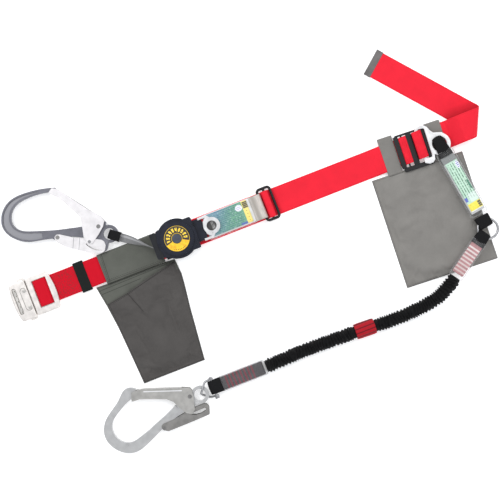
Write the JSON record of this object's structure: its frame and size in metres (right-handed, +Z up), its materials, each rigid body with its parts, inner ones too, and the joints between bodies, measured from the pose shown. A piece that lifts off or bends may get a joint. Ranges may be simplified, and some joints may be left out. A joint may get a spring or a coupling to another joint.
{
  "type": "fall arrest belt with shock absorbing lanyards",
  "caption": "Red work-positioning belt laid flat with a metal buckle, tool pouches, a webbing reel lanyard with hook and a bungee lanyard, each with a sewn shock absorber.",
  "frame": {"origin": "centre of the bottom of the bounding box, on the surface that the belt lies on", "axes": "+X along the belt from the buckle to the folded end, +Y across the belt from the pouches towards the free end, +Z up from the surface"},
  "size_m": [0.921, 0.5244, 0.0408],
  "materials": {
    "red_webbing": "woven polyester belt webbing",
    "grey_plastic": "satin moulded",
    "plated_steel": "satin nickel plate",
    "black_webbing": "woven",
    "black_plastic": "satin moulded",
    "dark_grey_fabric": "coated woven",
    "light_grey_fabric": "coated woven",
    "white_metal": "silver-white satin",
    "navy_plastic": "fine texture",
    "steel_inner": "satin",
    "grey_webbing": "woven two-tone grey",
    "label_print": "printed film",
    "clear_vinyl": "clear flexible vinyl",
    "tear_webbing": "folded tear webbing",
    "hook_grey": "grey anodised",
    "hook_white": "silver-white satin",
    "hook_silver": "satin zinc plate",
    "red_tag": "stitched"
  },
  "bodies": {
    "belt": {"belt_webbing": "red_webbing", "belt_end_tip": "grey_plastic", "buckle_frame": "plated_steel", "buckle_slide_bar": "plated_steel", "tri_glide": "black_plastic", "left_pouch_sleeve": "dark_grey_fabric", "left_pouch_back": "dark_grey_fabric", "left_pouch_front": "dark_grey_fabric", "right_pouch_back": "light_grey_fabric", "right_pouch_front": "light_grey_fabric", "right_pouch_loops": "light_grey_fabric", "d_ring_retainer": "black_plastic", "d_ring": "white_metal", "reel_back_shell": "navy_plastic", "reel_front_shell": "navy_plastic", "reel_axle": "steel_inner", "reel_power_spring": "steel_inner", "reel_webbing_guide": "black_plastic", "reel_label_ring": "label_print", "reel_centre_cap": "grey_plastic", "reel_screws": "steel_inner", "reel_eye_bracket": "white_metal", "absorber_a_cover": "clear_vinyl", "absorber_a_pack": "tear_webbing", "absorber_a_end_loop": "tear_webbing"},
    "housing": {"buckle_housing": "plated_steel", "buckle_rivets": "plated_steel"},
    "grip_bar": {"buckle_grip_bar": "plated_steel"},
    "button_lower": {"buckle_button_lower": "plated_steel"},
    "button_upper": {"buckle_button_upper": "plated_steel"},
    "keeper": {"belt_keeper": "black_webbing"},
    "drum": {"reel_drum": "black_plastic", "reel_webbing": "grey_webbing", "reel_ratchet": "steel_inner"},
    "pawl": {"reel_pawl": "steel_inner"},
    "lanyard_a": {"strap_a": "grey_webbing", "strap_a_sleeve": "black_webbing"},
    "hook_a": {"hook_a_body": "hook_grey", "hook_a_pins": "hook_silver", "hook_a_gate_spring": "steel_inner"},
    "hook_a_gate": {"hook_a_gate": "hook_white"},
    "hook_a_lever": {"hook_a_lever": "hook_white"},
    "absorber_b": {"absorber_b_cover": "clear_vinyl", "absorber_b_pack": "tear_webbing"},
    "connector_ring": {"connector_ring": "hook_silver"},
    "lanyard_b": {"lanyard_b_upper_cover": "clear_vinyl", "lanyard_b_upper_webbing": "black_webbing", "lanyard_b_cord": "black_webbing", "lanyard_b_tag": "red_tag", "lanyard_b_lower_cover": "clear_vinyl", "lanyard_b_lower_webbing": "black_webbing"},
    "shackle": {"shackle": "hook_silver", "shackle_pin": "hook_silver"},
    "hook_b": {"hook_b_body": "hook_silver", "hook_b_pins": "hook_silver", "hook_b_gate_spring": "steel_inner"},
    "hook_b_gate": {"hook_b_gate": "hook_silver"},
    "hook_b_lever": {"hook_b_lever": "hook_silver"}
  },
  "joints": [
    {"name": "buckle_release", "type": "slide", "parent": "belt", "child": "housing", "axis": [-1, 0, 0], "range_m": [0, 0.024]},
    {"name": "grip_bar_slide", "type": "slide", "parent": "housing", "child": "grip_bar", "axis": [1, 0, 0], "range_m": [-0.0012, 0.0012]},
    {"name": "button_lower_press", "type": "slide", "parent": "housing", "child": "button_lower", "axis": [0, 1, 0], "range_m": [0, 0.003], "stiffness_N_per_m": 400, "springref_m": -0.002},
    {"name": "button_upper_press", "type": "slide", "parent": "housing", "child": "button_upper", "axis": [0, -1, 0], "range_m": [0, 0.003], "stiffness_N_per_m": 400, "springref_m": -0.002},
    {"name": "keeper_slide", "type": "slide", "parent": "belt", "child": "keeper", "axis": [1, 0, 0], "range_m": [-0.03, 0.0055]},
    {"name": "strap_a_pull", "type": "slide", "parent": "belt", "child": "lanyard_a", "axis": [-0.7796, 0.6262, 0], "range_m": [0, 0.025], "stiffness_N_per_m": 25, "springref_m": -0.08},
    {"name": "drum_spin", "type": "hinge", "parent": "belt", "child": "drum", "pos_m": [-0.13812, 0.07194, 0.025], "axis": [0, 0, 1], "range_deg": [-55, 5]},
    {"name": "pawl_rock", "type": "hinge", "parent": "belt", "child": "pawl", "pos_m": [-0.11362, 0.05944, 0.0143], "axis": [0, 0, 1], "range_deg": [-10, 2], "stiffness_Nm_per_rad": 0.01},
    {"name": "hook_a_swing", "type": "hinge", "parent": "lanyard_a", "child": "hook_a", "pos_m": [-0.25122, 0.12544, 0.009], "axis": [0, 0, 1], "range_deg": [-25, 0]},
    {"name": "hook_a_gate_open", "type": "hinge", "parent": "hook_a", "child": "hook_a_gate", "pos_m": [-0.26402, 0.14481, 0.009], "axis": [0, 0, 1], "range_deg": [0, 24], "stiffness_Nm_per_rad": 0.25, "springref_deg": -8.59},
    {"name": "hook_a_lever_squeeze", "type": "hinge", "parent": "hook_a", "child": "hook_a_lever", "pos_m": [-0.34058, 0.15323, 0.009], "axis": [0, 0, 1], "range_deg": [0, 6], "stiffness_Nm_per_rad": 0.25, "springref_deg": -5.73},
    {"name": "absorber_b_swing", "type": "hinge", "parent": "belt", "child": "absorber_b", "pos_m": [0.36788, 0.05994, 0.0135], "axis": [0, 0, 1], "range_deg": [0, 10]},
    {"name": "ring_turn", "type": "hinge", "parent": "absorber_b", "child": "connector_ring", "pos_m": [0.39388, -0.11606, 0.014], "axis": [0, 0, 1], "continuous": true},
    {"name": "lanyard_b_swing", "type": "hinge", "parent": "absorber_b", "child": "lanyard_b", "pos_m": [0.39388, -0.11606, 0.014], "axis": [0, 0, 1], "range_deg": [0, 10]},
    {"name": "shackle_lift", "type": "hinge", "parent": "lanyard_b", "child": "shackle", "pos_m": [-0.17562, -0.20326, 0.01], "axis": [0, 1, 0], "range_deg": [0, 60]},
    {"name": "hook_b_swing", "type": "hinge", "parent": "shackle", "child": "hook_b", "pos_m": [-0.20362, -0.20756, 0.009], "axis": [0, 0, 1], "range_deg": [0, 20]},
    {"name": "hook_b_gate_open", "type": "hinge", "parent": "hook_b", "child": "hook_b_gate", "pos_m": [-0.22137, -0.20319, 0.009], "axis": [0, 0, 1], "range_deg": [0, 24], "stiffness_Nm_per_rad": 0.25, "springref_deg": -8.59},
    {"name": "hook_b_lever_squeeze", "type": "hinge", "parent": "hook_b", "child": "hook_b_lever", "pos_m": [-0.2851, -0.23932, 0.009], "axis": [0, 0, 1], "range_deg": [0, 6], "stiffness_Nm_per_rad": 0.25, "springref_deg": -5.73}
  ],
  "couplings": [
    {"joint": "drum_spin", "follows": "strap_a_pull", "rad_per_m": -34.346}
  ]
}
